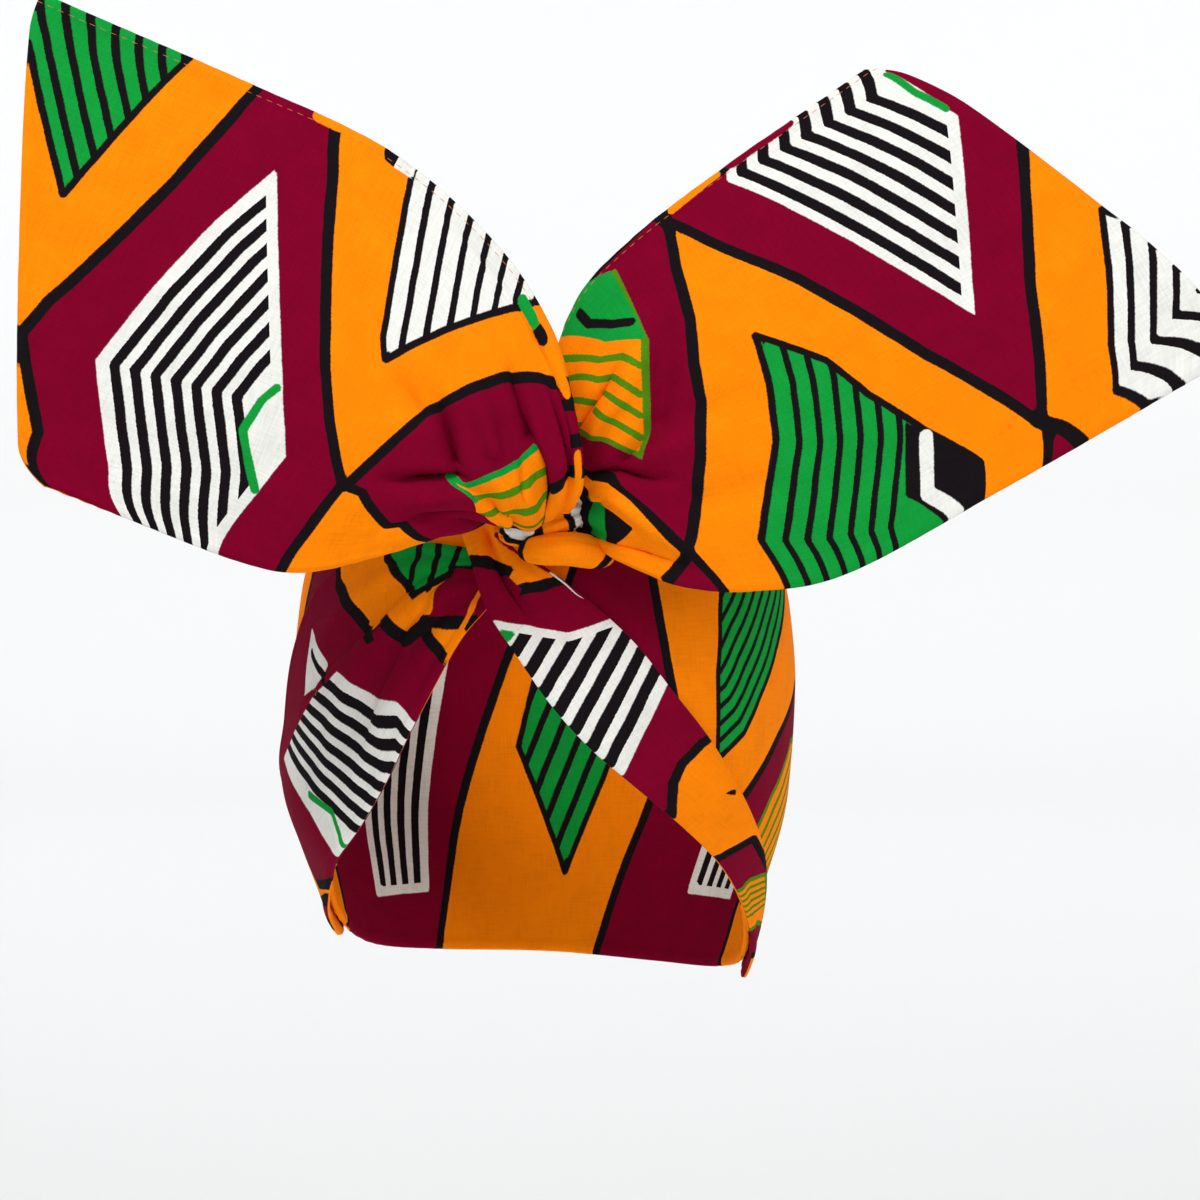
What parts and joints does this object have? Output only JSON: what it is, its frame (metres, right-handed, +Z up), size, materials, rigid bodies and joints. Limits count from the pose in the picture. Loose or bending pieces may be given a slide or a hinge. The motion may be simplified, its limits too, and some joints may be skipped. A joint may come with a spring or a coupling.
{
  "type": "wired head wrap",
  "caption": "Doubled cotton head wrap with wired edges, tied at the forehead so that its two cut ends stand open like ears.",
  "frame": {"origin": "middle of the head that the wrap sits on, about 30 mm below the knot", "axes": "+Z up the head, -Y out of the forehead towards the knot, +X towards the wearer's left ear"},
  "size_m": [0.3558, 0.2473, 0.2999],
  "materials": {
    "band_print": "matt printed cotton, orange and maroon fields with black lines",
    "left_cuff_print": "matt printed cotton, maroon with a striped white kite",
    "right_cuff_print": "matt printed cotton, maroon and orange with a striped white kite",
    "left_ear_print": "matt printed cotton, orange and maroon fields with striped kites",
    "right_ear_print": "matt printed cotton, orange and maroon fields with striped kites",
    "knot_twist_print": "matt printed cotton, white with black stripes",
    "knot_roll_print": "matt printed cotton, orange with a black line"
  },
  "bodies": {
    "root": {"head_band": "band_print", "left_cuff": "left_cuff_print", "right_cuff": "right_cuff_print", "left_ear": "left_ear_print", "right_ear": "right_ear_print", "knot_twist": "knot_twist_print", "knot_roll": "knot_roll_print"}
  },
  "joints": []
}
